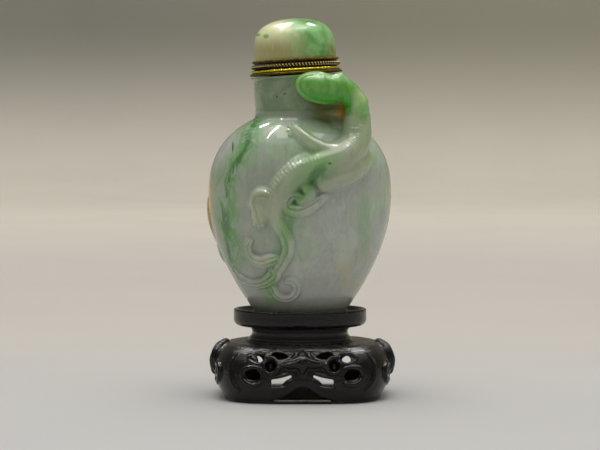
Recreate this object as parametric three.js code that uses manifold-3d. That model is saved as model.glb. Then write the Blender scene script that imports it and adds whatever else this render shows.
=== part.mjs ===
// A jadeite snuff bottle with a chilong climbing its shoulder, its stopper and its carved wood stand.
// Millimetres, +Z up. The origin is on the ground under the middle of the stand, and the front faces -Y.
import * as THREE from 'three';
import { mergeVertices } from 'three/addons/utils/BufferGeometryUtils.js';
import Module from 'manifold-3d';

const wasm = await Module();
wasm.setup();

// ---------------------------------------------------------------- driving dimensions

const SIDES = 28; // facets round a turned form
const BODY_SIDES = 36; // and round the bottle's body
const STAND_SIDES = 24; // round the stand
const INNER_SIDES = 16; // and round a hollow

const BODY = {
  halfWidth: 19.65,
  halfDepth: 15.0,
  foot: 17.3, // underside, on the floor of the stand's dish
  belly: 42.9, // height of the widest part
  shoulder: 18.7, // from the belly up to where the shoulder would close
  taper: 18.5, // scale of the fall from the belly to the foot
  top: 60.6,
};
const WALL = { side: 2.9, bottom: 3.4, footRim: 1.7, footRecess: 0.8 };
const HOLLOW = {
  rows: [0, 1.2, 4, 10, 17, 23, 28, 32, 34.6], // heights above its bottom
  bowlHeight: 4, // the bottom rounds in below this height
  bowlShare: 0.45, // to this share of the width
  shoulderFrom: 50, // and the wall thickens above this height
  shoulderSlope: 0.125,
};
const NECK = {
  foot: new THREE.Vector3(-0.25, 0, 59.4),
  lean: THREE.MathUtils.degToRad(3.4), // the neck and the stopper lean to the left
  height: 9.4,
  bore: 4.2,
};
const GAP = 0.3; // between pieces that only rest on each other on the leaning axis

const COLLAR = { underside: NECK.height + GAP, height: 3.3, radius: 9.95, seat: 2.7 };
const CAP = { radius: 9.05, height: 8.95 };

const DISH = { radius: 14.3, depthRatio: 0.82, floor: BODY.foot, rim: 18.8, underside: 15.1 };
const WAIST = { radius: 10.35, foot: 11.5 };
const STAND = {
  shift: 0.5, // the legs and aprons stand this far right of the dish above them
  plateTop: 11.75,
  plateRadius: 16.4,
  belly: 18.8,
  bellyHeight: 6.8,
  footRadius: 16.8,
  footHeight: 0.55, // of the ring that the legs stand on
  depthAtPlate: 0.85, // depth over width at the plate
  depthAtFoot: 0.96, // and at the foot
  squareAtPlate: 2.6, // superellipse powers: 2 is an oval, more is squarer
  squareAtFoot: 3.4,
  wall: 3.0,
  ceiling: 10.5,
  mouth: 14.0, // radius of the opening underneath
};
const END_APRON = 0.8; // the end aprons' ornament is this much narrower than the front's
const OGEE = [[0, 3.85], [0.9, 3.5], [2, 2.6], [3.1, 2.05], [4.8, 1.3], [6.8, STAND.footHeight]];
const FLAT_ARCH = [[0, 3.85], [1.4, 3.15], [3, 2.65], [4.8, 2.35], [6.6, 1.95], [7.6, STAND.footHeight]];

const JADE = new THREE.MeshStandardMaterial({ color: 0x7d8f7c, roughness: 0.25, metalness: 0 });
const CAP_JADE = new THREE.MeshStandardMaterial({ color: 0xa3b38a, roughness: 0.2, metalness: 0 });
const GILT = new THREE.MeshStandardMaterial({ color: 0x9a7a2c, roughness: 0.35, metalness: 1 });
const WOOD = new THREE.MeshStandardMaterial({ color: 0x1e1a18, roughness: 0.3, metalness: 0 });

// ---------------------------------------------------------------- solids

// A closed geometry as a manifold solid, with shared corners merged and its faces pointing out
function solid(geometry) {
  const bare = geometry.index ? geometry.toNonIndexed() : geometry.clone();
  bare.deleteAttribute('normal');
  bare.deleteAttribute('uv');
  const merged = mergeVertices(bare, 1e-4);
  const spots = merged.attributes.position.array;
  const corners = merged.index.array;
  const faces = [];
  let volume = 0;
  const [a, b, c] = [new THREE.Vector3(), new THREE.Vector3(), new THREE.Vector3()];
  for (let i = 0; i < corners.length; i += 3) {
    const [p, q, r] = corners.slice(i, i + 3);
    if (p === q || q === r || r === p) continue;
    faces.push(p, q, r);
    a.fromArray(spots, 3 * p);
    b.fromArray(spots, 3 * q);
    c.fromArray(spots, 3 * r);
    volume += a.dot(b.cross(c));
  }
  if (volume < 0) faces.reverse();
  return new wasm.Manifold(new wasm.Mesh({
    numProp: 3,
    vertProperties: new Float32Array(spots),
    triVerts: new Uint32Array(faces),
  }));
}

function geometryOf(manifold) {
  const mesh = manifold.getMesh();
  const geometry = new THREE.BufferGeometry();
  geometry.setAttribute('position', new THREE.BufferAttribute(mesh.vertProperties, 3));
  geometry.setIndex(new THREE.BufferAttribute(mesh.triVerts, 1));
  geometry.computeVertexNormals();
  return geometry;
}

const join = (parts) => parts.reduce((whole, part) => whole.add(part));

// A turned form about +Z from [radius, height] rows, closed on the axis at both ends
function turned(rows, sides = SIDES) {
  const first = new THREE.Vector2(0, rows[0][1]);
  const last = new THREE.Vector2(0, rows[rows.length - 1][1]);
  const profile = [first, ...rows.map(([radius, height]) => new THREE.Vector2(radius, height)), last];
  return new THREE.LatheGeometry(profile, sides).rotateX(Math.PI / 2);
}

// Moves every corner of a geometry by a function of its place
function reshape(geometry, move) {
  const places = geometry.attributes.position;
  const place = new THREE.Vector3();
  for (let i = 0; i < places.count; i += 1) {
    place.fromBufferAttribute(places, i);
    move(place);
    places.setXYZ(i, place.x, place.y, place.z);
  }
  return geometry;
}

// Evenly spaced numbers, both ends included
const steps = (from, to, count) => (
  Array.from({ length: count + 1 }, (_, i) => from + ((to - from) * i) / count)
);

// ---------------------------------------------------------------- the bottle's body and neck

// Half width and half depth of the body at a height
function bodySize(height) {
  const up = Math.max(0, (height - BODY.belly) / BODY.shoulder);
  const down = Math.max(0, (BODY.belly - height) / BODY.taper);
  return {
    x: BODY.halfWidth * (Math.sqrt(1 - up ** 2.5) - 0.295 * down ** 1.85),
    y: BODY.halfDepth * (Math.sqrt(1 - up ** 4) - 0.275 * down ** 1.9),
  };
}

// The body, with its rows of corners closer together towards the shoulder
function bodyForm() {
  const lower = steps(BODY.foot, BODY.belly, 6);
  const upper = steps(0, 1, 7).slice(1).map((t) => BODY.belly + (BODY.top - BODY.belly) * t ** 0.75);
  const rows = [...lower, ...upper].map((height) => [1, height]);
  return reshape(turned(rows, BODY_SIDES), (place) => {
    const size = bodySize(place.z);
    place.x *= size.x;
    place.y *= size.y;
  });
}

// The matrix that carries a form made about the neck's own axis to its leaning place
const neckPlace = new THREE.Matrix4().makeRotationY(-NECK.lean).setPosition(NECK.foot);

function neckForm() {
  const rows = [[9.1, -4], [9.15, 1.5], [9.25, 4.5], [9.3, 8.7], [9.8, 9.0], [9.8, NECK.height]];
  return turned(rows).applyMatrix4(neckPlace);
}

// The bore runs from inside the hollow out through the lip
function boreForm() {
  const [start, end] = [-8, NECK.height + 2];
  return turned([[NECK.bore, start], [NECK.bore, end]], INNER_SIDES).applyMatrix4(neckPlace);
}

// The hollow follows the body at the thickness of its wall, with a round bottom and a thicker shoulder
function hollowForm() {
  const { bowlHeight, bowlShare, shoulderFrom, shoulderSlope, rows: heights } = HOLLOW;
  const bottom = BODY.foot + WALL.bottom;
  const share = (t) => 1 - (1 - bowlShare) * (1 - Math.min(1, t / bowlHeight)) ** 2;
  const rows = heights.map((t) => [share(t), bottom + t]);
  return reshape(turned(rows, INNER_SIDES), (place) => {
    const size = bodySize(place.z);
    const wall = WALL.side + Math.max(0, place.z - shoulderFrom) * shoulderSlope;
    place.x *= size.x - wall;
    place.y *= size.y - wall;
  });
}

function footRecessForm() {
  const size = bodySize(BODY.foot);
  const form = turned([[1, -1], [1, WALL.footRecess]], INNER_SIDES);
  return form.scale(size.x - WALL.footRim, size.y - WALL.footRim, 1).translate(0, 0, BODY.foot);
}

// ---------------------------------------------------------------- carving on the bottle

// How far out a place is from the body's axis, as a share of the skin's distance
function skinShare(place) {
  const size = bodySize(Math.min(place.z, BODY.top));
  return Math.hypot(place.x / size.x, place.y / size.y);
}

function skinNormal(place) {
  const e = 0.05;
  const slope = (axis) => {
    const ahead = place.clone();
    const behind = place.clone();
    ahead[axis] += e;
    behind[axis] -= e;
    return skinShare(ahead) - skinShare(behind);
  };
  return new THREE.Vector3(slope('x'), slope('y'), slope('z')).normalize();
}

// A point raised from the skin of the front, at x across and z up, with the limb's radius there
function front(x, z, rise, radius) {
  const size = bodySize(z);
  const place = new THREE.Vector3(x, -size.y * Math.sqrt(1 - (x / size.x) ** 2), z);
  return { place: place.addScaledVector(skinNormal(place), rise), radius };
}

// The same at an angle round the body from the front, positive to the right
function around(degrees, z, rise, radius) {
  const size = bodySize(z);
  const turn = THREE.MathUtils.degToRad(degrees);
  const heading = new THREE.Vector3(Math.sin(turn), -Math.cos(turn), 0);
  const place = heading.divideScalar(Math.hypot(heading.x / size.x, heading.y / size.y)).setZ(z);
  return { place: place.addScaledVector(skinNormal(place), rise), radius };
}

// A point that stands free of the skin
const free = (x, y, z, radius) => ({ place: new THREE.Vector3(x, y, z), radius });

// Points round a hook or spiral on the front: radius and angle run from the first value to the second
function hook(centreX, centreZ, radii, angles, count, rise, girths) {
  return steps(0, 1, count).map((t) => {
    const radius = radii[0] + (radii[1] - radii[0]) * t;
    const angle = THREE.MathUtils.degToRad(angles[0] + (angles[1] - angles[0]) * t);
    const girth = girths[0] + (girths[1] - girths[0]) * t;
    return front(centreX + radius * Math.cos(angle), centreZ + radius * Math.sin(angle), rise, girth);
  });
}

// A limb with round ends: a turned blank bent along a path, its radius following the path's radii
function limb(path, { sides = 6, perSpan = 2, height = 1, roundEnds = true } = {}) {
  const route = new THREE.CatmullRomCurve3(path.map((point) => point.place), false, 'centripetal');
  const spans = path.length - 1;
  const stations = steps(0, 1, spans * perSpan).map((t) => {
    const at = Math.min(spans - 1, Math.floor(t * spans));
    const share = t * spans - at;
    const radius = path[at].radius * (1 - share) + path[at + 1].radius * share;
    return { centre: route.getPoint(t), along: route.getTangent(t), radius };
  });
  const endSteps = roundEnds ? [0.75, 1] : [1];
  const cap = (end, sign) => endSteps.map((out) => ({
    centre: end.centre.clone().addScaledVector(end.along, sign * end.radius * out * 0.9),
    along: end.along,
    radius: end.radius * Math.sqrt(1 - out ** 2),
  }));
  const all = [...cap(stations[0], -1).reverse(), ...stations, ...cap(stations[stations.length - 1], 1)];
  const profile = all.map((station, i) => new THREE.Vector2(station.radius, i));
  const blank = new THREE.LatheGeometry(profile, sides);
  return reshape(blank, (place) => {
    const { centre, along } = all[Math.round(place.y)];
    const outward = skinNormal(centre);
    outward.addScaledVector(along, -outward.dot(along)).normalize();
    const across = new THREE.Vector3().crossVectors(along, outward);
    const [wide, high] = [place.x, place.z * height];
    place.copy(centre).addScaledVector(across, wide).addScaledVector(outward, high);
  });
}

function ellipsoid(centre, radii, tilt = 0, sides = 12) {
  return new THREE.SphereGeometry(1, sides, Math.round(sides * 0.6))
    .scale(...radii)
    .rotateY(THREE.MathUtils.degToRad(tilt))
    .translate(...centre);
}

// The chilong: head at the stopper, trunk down the right shoulder, curled tail at the foot
function dragonForms() {
  const trunk = [
    free(7.8, -11.0, 66.2, 2.7),
    free(10.0, -11.0, 65.0, 2.5),
    free(11.5, -10.4, 63.2, 2.4),
    free(12.0, -10.0, 61.2, 2.6),
    free(12.0, -9.8, 58.0, 3.0),
    front(11.2, 54.0, 0.6, 3.2),
    front(8.6, 51.3, 0.4, 3.2),
    front(4.8, 50.0, 0.1, 3.0),
    front(0.8, 48.9, 0.0, 2.9),
    front(-2.3, 46.7, -0.1, 2.7),
    front(-4.7, 43.4, -0.3, 2.4),
    front(-5.4, 40.2, -0.4, 2.0),
    front(-4.4, 37.3, -0.3, 1.6),
  ];
  const tail = [
    front(-4.4, 37.8, 0, 1.3),
    front(-3.0, 35.0, 0, 1.25),
    front(-2.4, 32.4, 0, 1.25),
    front(-3.6, 29.4, 0, 1.2),
    front(-5.2, 26.9, 0, 1.1),
    ...hook(-2.6, 24.3, [3.4, 1.6], [165, 400], 5, 0, [1.0, 0.8]),
  ];
  const nearForeleg = [
    front(10.2, 54.0, 0.6, 2.0),
    front(6.3, 52.9, 0.5, 1.7),
    front(3.4, 53.9, 0.4, 1.4),
    front(0.8, 55.7, 0.4, 1.2),
    front(-1.0, 57.2, 0.4, 1.3),
  ];
  const haunch = [
    front(13.6, 51.0, 0.0, 1.8),
    front(11.2, 49.2, 0.0, 2.7),
    front(8.2, 47.8, 0.0, 2.9),
    front(5.2, 46.6, 0.0, 2.3),
  ];
  const hindFlame = [
    front(5.2, 43.4, 0, 0.9),
    front(2.7, 41.5, 0.1, 1.3),
    front(0.2, 40.3, 0.1, 1.4),
    ...hook(-0.9, 42.3, [2.1, 0.9], [230, 20], 4, 0.1, [1.3, 1.0]),
  ];
  const hindThigh = [front(1.4, 45.4, 0.2, 1.3), front(2.0, 43.8, 0.2, 1.4), front(0.4, 42.4, 0.1, 1.1)];
  const farHindleg = [
    front(-5.2, 43.2, 0, 1.7),
    front(-8.4, 43.6, 0.1, 1.5),
    front(-9.4, 42.2, 0.2, 1.4),
    front(-8.9, 40.4, 0.2, 1.5),
    front(-8.5, 38.6, 0.1, 1.8),
  ];
  const upperTuft = [
    front(-4.9, 31.3, 0, 0.9),
    ...hook(-6.9, 33.4, [3.3, 3.3], [285, 140], 5, 0, [1.2, 0.8]),
  ];
  const lowerTuft = [
    front(-5.6, 28.4, 0, 0.9),
    ...hook(-9.4, 31.0, [4.9, 4.7], [305, 200], 4, -0.1, [1.3, 0.7]),
  ];
  const mane = [free(8.2, -11.8, 67.8, 1.5), free(10.6, -12.0, 65.8, 1.3), free(12.7, -11.2, 63.0, 1.7)];
  return [
    limb(trunk, { sides: 8 }),
    limb(tail, { sides: 6, perSpan: 1, height: 0.75 }),
    limb(nearForeleg),
    limb(haunch),
    limb(hindFlame, { perSpan: 1 }),
    limb(hindThigh),
    limb(farHindleg, { perSpan: 1 }),
    limb(upperTuft, { sides: 5, perSpan: 1, height: 0.65 }),
    limb(lowerTuft, { sides: 5, perSpan: 1, height: 0.6 }),
    limb(mane),
    ellipsoid([4.4, -11.2, 66.0], [5.2, 3.1, 3.35], 16, 14),
    ellipsoid([2.2, -11.0, 66.0], [3.3, 2.6, 2.6], 30),
    ellipsoid([9.6, -7.4, 61.0], [2.4, 2.0, 4.6], -12, 8), // the web of stone left behind the neck
  ];
}

// The low relief in the stone's ochre skin on the left side, and a plainer one on the back
function skinReliefForms() {
  const spray = [
    around(-104, 29.5, -0.4, 0.9),
    around(-99, 33.5, -0.6, 1.3),
    around(-96, 37.5, -0.8, 1.7),
    around(-97, 41.5, -0.8, 1.6),
    around(-106, 44.5, -0.6, 1.3),
  ];
  const leaf = [around(-96, 36, -0.6, 1.2), around(-112, 38.5, -0.5, 1.6), around(-126, 36.5, -0.4, 1.0)];
  const root = [around(-93, 32.2, -0.3, 0.7), around(-90, 30.2, -0.3, 0.8), around(-95, 28.4, -0.3, 0.6)];
  return [spray, leaf, root].map((path) => limb(path, { sides: 5, perSpan: 1 }));
}

function bottle() {
  const outside = join([solid(bodyForm()), solid(neckForm())]);
  const carved = join([outside, ...dragonForms().map(solid), ...skinReliefForms().map(solid)]);
  const hollows = join([solid(hollowForm()), solid(boreForm()), solid(footRecessForm())]);
  return geometryOf(carved.subtract(hollows));
}

// ---------------------------------------------------------------- the stopper

function collar() {
  const { radius, height, seat } = COLLAR;
  const rows = [
    [radius, 0],
    [radius - 0.3, 0.95],
    [radius + 0.05, 1.2],
    [radius - 0.05, 1.6],
    [radius - 0.7, 1.75],
    [radius - 0.5, 2.2],
    [radius - 0.95, 2.7],
    [radius - 0.6, 2.9],
    [radius - 0.65, height],
    [CAP.radius, height],
    [CAP.radius, seat],
  ];
  return geometryOf(solid(turned(rows)));
}

function cap() {
  const seat = GAP;
  const share = (t) => (1 - t ** 4.2) ** (1 / 2.2);
  const heights = [0, 0.35, 0.6, 0.75, 0.86, 0.94, 0.985];
  const rows = heights.map((t) => [(CAP.radius - GAP) * share(t), seat + CAP.height * t]);
  return geometryOf(solid(turned([...rows, [0.9, seat + CAP.height]])));
}

// ---------------------------------------------------------------- the stand

// Plan of the stand's body at a height: depth over width, and how square it is
function standPlan(height) {
  const t = THREE.MathUtils.clamp(height / STAND.plateTop, 0, 1);
  return {
    ratio: THREE.MathUtils.lerp(STAND.depthAtFoot, STAND.depthAtPlate, t),
    power: THREE.MathUtils.lerp(STAND.squareAtFoot, STAND.squareAtPlate, t),
  };
}

// Turns a round form into the stand's rounded-square plan
function toStandPlan(geometry) {
  return reshape(geometry, (place) => {
    const radius = Math.hypot(place.x, place.y);
    if (radius < 1e-6) return;
    const { ratio, power } = standPlan(place.z);
    const [c, s] = [Math.abs(place.x / radius), Math.abs(place.y / radius)];
    const stretch = (c ** power + s ** power) ** (-1 / power);
    place.x *= stretch;
    place.y *= stretch * ratio;
  });
}

const STAND_SKIN = [
  [STAND.footRadius - 0.3, 0],
  [STAND.footRadius, 0.25],
  [STAND.footRadius + 0.2, 0.9],
  [STAND.belly - 1.1, 2.1],
  [STAND.belly - 0.55, 3.2],
  [STAND.belly - 0.2, 4.5],
  [STAND.belly, STAND.bellyHeight],
  [STAND.belly - 0.2, 8.6],
  [STAND.belly - 0.9, 10.0],
  [STAND.plateRadius + 0.4, 11.0],
  [STAND.plateRadius - 0.3, 11.5],
  [STAND.plateRadius - 1.4, STAND.plateTop],
];

// Radius of the stand's body along X at a height
function standRadius(height) {
  const above = STAND_SKIN.findIndex(([, z]) => z >= height);
  const upper = STAND_SKIN[Math.max(1, above)];
  const lower = STAND_SKIN[Math.max(1, above) - 1];
  return THREE.MathUtils.mapLinear(height, lower[1], upper[1], lower[0], upper[0]);
}

// A pedestal of dish and waist, oval in plan like the bottle's foot
function pedestalForm() {
  const { radius, floor, rim, underside } = DISH;
  const rows = [
    [WAIST.foot, STAND.plateTop - 1],
    [WAIST.foot, STAND.plateTop + 0.25],
    [WAIST.foot - 0.6, STAND.plateTop + 0.5],
    [WAIST.foot - 0.6, 12.6],
    [WAIST.radius, 13.4],
    [WAIST.radius + 0.1, 14.2],
    [WAIST.radius + 0.6, 14.8],
    [radius - 1.2, underside],
    [radius - 0.3, underside + 0.45],
    [radius, underside + 1.1],
    [radius, rim - 0.4],
    [radius - 0.3, rim],
    [radius - 0.8, rim],
    [radius - 1.2, rim - 0.7],
    [radius - 3.6, floor],
  ];
  return turned(rows, STAND_SIDES).scale(1, DISH.depthRatio, 1);
}

function standHollowForm() {
  const { mouth, belly, wall, footHeight, ceiling } = STAND;
  const room = belly - wall;
  const rows = [[mouth, -1], [mouth, footHeight + 0.3], [room, 3.6], [room, 8.6], [room - 1.4, ceiling]];
  return toStandPlan(turned(rows, INNER_SIDES));
}

// One pierced hole's outline on an apron: u across from the apron's middle, z up
function ovalHole(u, z, halfU, halfZ, tilt) {
  const hole = new THREE.Shape();
  hole.absellipse(u, z, halfU, halfZ, 0, 2 * Math.PI, false, THREE.MathUtils.degToRad(tilt));
  return hole;
}

function wingHole(side) {
  const hole = new THREE.Shape();
  hole.moveTo(side * 2.3, 6.2);
  hole.quadraticCurveTo(side * 4.2, 5.5, side * 6.5, 5.15);
  hole.lineTo(side * 6.4, 3.75);
  hole.quadraticCurveTo(side * 4.2, 3.8, side * 3.5, 4.9);
  hole.lineTo(side * 2.3, 5.5);
  hole.closePath();
  return hole;
}

// The arch between two feet, from rows of [across, height] that run from its middle to one side
function archHole(rows) {
  const right = rows.map(([u, z]) => new THREE.Vector2(u, z));
  const left = rows.slice(1).reverse().map(([u, z]) => new THREE.Vector2(-u, z));
  return new THREE.Shape([...right, ...left]);
}

function frontHoles() {
  const pairs = [-1, 1].flatMap((side) => [
    ovalHole(side * 4.7, 9.9, 1.8, 0.75, side * 8),
    ovalHole(side * 9.2, 9.3, 1.4, 0.9, side * -30),
    ovalHole(side * 10.4, 5.9, 1.6, 1.2, 0),
    wingHole(side),
  ]);
  return pairs;
}

function endHoles() {
  const pairs = [-1, 1].flatMap((side) => [ovalHole(side * 9.6, 6.6, 1.9, 1.5, 0), wingHole(side)]);
  return [...pairs, archHole(OGEE)];
}

// A bar from one place to another along the way out through an apron, both measured from the middle
function piercing(hole, narrow, turn, [from, to] = [-25, 25]) {
  return new THREE.ExtrudeGeometry(hole, { depth: to - from, bevelEnabled: false, curveSegments: 3 })
    .translate(0, 0, from)
    .rotateX(Math.PI / 2)
    .scale(narrow, 1, 1)
    .rotateZ(turn);
}

// A point raised from an apron's skin. Aprons are numbered 0 front, 1 right, 2 back, 3 left
function onApron(side, u, z, rise, radius) {
  const { ratio, power } = standPlan(z);
  const along = standRadius(z);
  const [wide, deep] = side % 2 ? [along * ratio, along] : [along, along * ratio];
  const out = deep * (1 - Math.abs(u / wide) ** power) ** (1 / power);
  const place = new THREE.Vector3(u, -out - rise, z);
  return { place: place.applyAxisAngle(new THREE.Vector3(0, 0, 1), (side * Math.PI) / 2), radius };
}

// A round scroll end standing upright on an apron
function knob(side, u, z) {
  return ellipsoid(onApron(side, u, z, 0.1, 0).place.toArray(), [1.2, 1.2, 1.9], 0, 8);
}

// The bat and the scrolls on one apron, in few facets
function apronForms(side) {
  const isEnd = side % 2 === 1;
  const spread = isEnd ? END_APRON : 1;
  const carve = (rows) => limb(
    rows.map(([u, z, rise, radius]) => onApron(side, u * spread, z, rise, radius)),
    { sides: 5, perSpan: 1, roundEnds: false },
  );
  const wings = [
    [-5.6, 9.0, 0.2, 0.8],
    [-3, 8.0, 0.2, 1.1],
    [0, 8.4, 0.2, 1.6],
    [3, 8.0, 0.2, 1.1],
    [5.6, 9.0, 0.2, 0.8],
  ];
  const nose = [[0, 8.2, 0.2, 1.0], [0, 6.4, -0.3, 0.9]];
  const bat = isEnd ? [] : [wings, nose].map(carve);
  const mirrored = [-1, 1].flatMap((way) => {
    const leaf = [
      [8.6, 8.1, 0, 0.6],
      [10.6, 8.2, 0.2, 0.7],
      [12.5, 7.2, 0.2, 0.8],
      [12.6, 5.2, 0.2, 0.7],
      [10.8, 4.1, 0, 0.6],
    ];
    const foliage = carve(leaf.map(([u, z, rise, radius]) => [way * u, z, rise, radius]));
    return isEnd ? [foliage] : [foliage, knob(side, way * 6.9, 8.4)];
  });
  return [...bat, ...mirrored];
}

// The bold leaf that crowns each end apron and gives the stand its full width
function endLeafForms(side) {
  const rise = 0.2;
  return [-1, 1].map((way) => limb([
    onApron(side, way * 1.2, 11.3, 0, 1.0),
    onApron(side, way * 2.6, 10.1, rise, 1.3),
    onApron(side, way * 3.0, 8.0, rise, 1.3),
    onApron(side, way * 1.8, 5.7, -0.1, 1.1),
  ], { sides: 5, perSpan: 1, roundEnds: false }));
}

function stand() {
  const outer = toStandPlan(turned(STAND_SKIN, STAND_SIDES));
  const bars = [
    ...frontHoles().map((hole) => piercing(hole, 1, 0)),
    piercing(archHole(OGEE), 1, 0, [5, 25]),
    piercing(archHole(FLAT_ARCH), 1, Math.PI, [5, 25]),
    ...endHoles().map((hole) => piercing(hole, END_APRON, Math.PI / 2)),
  ];
  const shell = solid(outer).subtract(join([solid(standHollowForm()), ...bars.map(solid)]));
  const carving = [...[0, 1, 2, 3].flatMap(apronForms), ...[1, 3].flatMap(endLeafForms)];
  const legs = join([shell, ...carving.map(solid)]).translate(STAND.shift, 0, 0);
  return geometryOf(join([legs, solid(pedestalForm())]));
}

// ---------------------------------------------------------------- assembly

function named(name, geometry, material) {
  const mesh = new THREE.Mesh(geometry, material);
  mesh.name = name;
  return mesh;
}

const stopper = new THREE.Group();
stopper.position.copy(NECK.foot);
stopper.rotation.y = -NECK.lean;
const collarMesh = named('stopper_collar', collar(), GILT);
collarMesh.position.z = COLLAR.underside;
const capMesh = named('stopper_cap', cap(), CAP_JADE);
capMesh.position.z = COLLAR.underside + COLLAR.seat;
stopper.add(collarMesh, capMesh);

const whole = new THREE.Group();
whole.add(named('bottle', bottle(), JADE), named('stand', stand(), WOOD), stopper);

export default whole;
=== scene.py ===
# The looks of a jadeite snuff bottle: a chilong climbing its shoulder, a gilt stopper and a wood stand.
# Lengths are worked in millimetres and written to the meshes in metres. The front faces -Y.
import math

import bpy
import numpy as np
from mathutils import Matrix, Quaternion, Vector


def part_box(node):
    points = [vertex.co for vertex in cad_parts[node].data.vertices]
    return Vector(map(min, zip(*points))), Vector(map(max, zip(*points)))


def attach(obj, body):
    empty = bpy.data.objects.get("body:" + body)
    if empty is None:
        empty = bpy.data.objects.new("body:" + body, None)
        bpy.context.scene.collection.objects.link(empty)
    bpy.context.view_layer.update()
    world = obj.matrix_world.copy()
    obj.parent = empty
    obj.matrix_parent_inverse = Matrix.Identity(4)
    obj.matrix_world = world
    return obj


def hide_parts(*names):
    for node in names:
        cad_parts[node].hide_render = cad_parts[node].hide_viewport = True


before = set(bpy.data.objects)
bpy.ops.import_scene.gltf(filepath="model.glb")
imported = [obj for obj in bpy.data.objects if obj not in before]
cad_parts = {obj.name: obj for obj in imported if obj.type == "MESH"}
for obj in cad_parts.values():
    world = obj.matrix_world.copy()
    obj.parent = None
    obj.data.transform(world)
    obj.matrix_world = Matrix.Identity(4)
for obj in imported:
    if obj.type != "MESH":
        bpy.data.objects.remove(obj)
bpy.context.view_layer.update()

MM = 0.001
PITCH = 0.26  # spacing of the carving grid
MARGIN = 3 * PITCH  # room kept round a form on the grid
TRIANGLES = 190000  # TRIANGLES = 190000 # most triangles that a carved piece keeps; finer skins are thinned to it
PER_SPAN = 6  # steps of a route from one of its points to the next
NUDGE = 0.05  # how far either way a slope is measured
CORE = 0.2  # the heart of a rounded form, where its depth stops growing


def cos_sin(degrees):
    return math.cos(math.radians(degrees)), math.sin(math.radians(degrees))


# ---- driving dimensions

HALF_WIDTH, HALF_DEPTH = 19.65, 15
FOOT, BELLY, TOP = 17.3, 42.9, 60.6
SHOULDER, TAPER = 18.7, 18.5
WALL, FLOOR, FOOT_RIM, FOOT_RECESS = 2.9, 3.4, 1.7, 0.8
HOLLOW_HEIGHT, BORE_DEPTH = 34.6, 8
NECK_FOOT = np.array([-0.25, 0, 59.4])
LEAN_COS, LEAN_SIN = cos_sin(3.4)  # the neck leans to the left
NECK_HEIGHT, BORE, GAP = 9.4, 4.2, 0.3
COLLAR_UNDER, SEAT = NECK_HEIGHT + GAP, 2.7
ROPE_TWISTS, ROPE_HEIGHT = 42, 1.92
CAP_RADIUS, CAP_HEIGHT, CAP_ROWS = 8.8, 8.95, 41
DISH_RADIUS, DISH_DEPTH, DISH_RIM, DISH_UNDER = 14.3, 0.82, 18.8, 15.1
WAIST, WAIST_FOOT = 10.35, 11.5
SHIFT, PLATE_TOP, PLATE_RADIUS = 0.5, 11.75, 16.4  # the legs stand a little to the right of the dish
STAND_BELLY, STAND_FOOT, FOOT_HEIGHT = 18.8, 16.8, 0.55
STAND_WALL, CEILING = 3, 10.5
END_APRON = 0.8  # width of an end apron's carving over a front one's

# ---- places where a form is worked out


class Region:
    """Every crossing of a grid, or a set of loose points"""

    def __init__(self, axes=None, points=None):
        self.axes = axes
        self.points = points
        self.shape = (len(points),) if axes is None else tuple(len(axis) for axis in axes)

    def places(self):
        if self.axes is None:
            return self.points[:, 0], self.points[:, 1], self.points[:, 2]
        xs, ys, zs = self.axes
        return xs[:, None, None], ys[None, :, None], zs[None, None, :]

    def within(self, low, high):
        if self.axes is None:
            return np.nonzero(((self.points >= low) & (self.points <= high)).all(1))[0]
        spans = [np.searchsorted(axis, (low[i], high[i])) for i, axis in enumerate(self.axes)]
        return tuple(slice(first, last) for first, last in spans)

    def part(self, index):
        if self.axes is None:
            return Region(points=self.points[index])
        return Region(axes=[axis[span] for axis, span in zip(self.axes, index)])

    def empty(self):
        return 0 in self.shape


def join(a, b, soft):
    """The union of two forms, with a fillet"""
    share = np.clip(0.5 + 0.5 * (b - a) / soft, 0, 1)
    return b + (a - b) * share - soft * share * (1 - share)


def cut(a, b, soft):
    """The first form with the second taken away, its edge eased"""
    return -join(-a, b, soft)


# ---- plain forms


def body_size(z):
    """Half width and half depth of the bottle's body at a height: a full shoulder and a drawn-in foot"""
    up = np.clip((z - BELLY) / SHOULDER, 0, 0.99)
    down = np.clip((BELLY - z) / TAPER, 0, 1.6)
    across = HALF_WIDTH * (np.sqrt(1 - up**2.5) - 0.295 * down**1.85)
    deep = HALF_DEPTH * (np.sqrt(1 - up**4) - 0.275 * down**1.9)
    return across, deep


def oval(x, y, z, size):
    """Distance to an oval form whose half sizes follow the height"""
    a, b = size(z)
    a_up, b_up = size(z + NUDGE)
    a_down, b_down = size(z - NUDGE)
    share = np.sqrt((x / a) ** 2 + (y / b) ** 2) + 1e-6
    rise_a, rise_b = (a_up - a_down) / (2 * NUDGE), (b_up - b_down) / (2 * NUDGE)
    slope_z = (x * x * rise_a / a**3 + y * y * rise_b / b**3) / share
    slope = np.sqrt((x / (a * a * share)) ** 2 + (y / (b * b * share)) ** 2 + slope_z**2)
    return (share - 1) / np.maximum(slope, 1e-3)


def body_distance(x, y, z):
    return np.maximum(oval(x, y, np.minimum(z, TOP), body_size), z - TOP)


def outline_distance(r, h, rows):
    """Distance to a closed outline of [radius, height] rows, below zero inside"""
    nearest = np.full(np.broadcast(r, h).shape, 1e9)
    inside = np.zeros(nearest.shape, bool)
    for (r0, h0), (r1, h1) in zip(rows, rows[1:] + rows[:1]):
        dr, dh = r1 - r0, h1 - h0
        t = np.clip(((r - r0) * dr + (h - h0) * dh) / (dr * dr + dh * dh), 0, 1)
        nearest = np.minimum(nearest, (r - r0 - t * dr) ** 2 + (h - h0 - t * dh) ** 2)
        if dh != 0:
            crosses = (h0 <= h) != (h1 <= h)
            inside ^= crosses & (r < r0 + (h - h0) * dr / dh)
    return np.where(inside, -1, 1) * np.sqrt(nearest)


def shifted(across, up, rows):
    """Rows of [radius, height] moved out and up"""
    return [(across + r, up + h) for r, h in rows]


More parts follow.
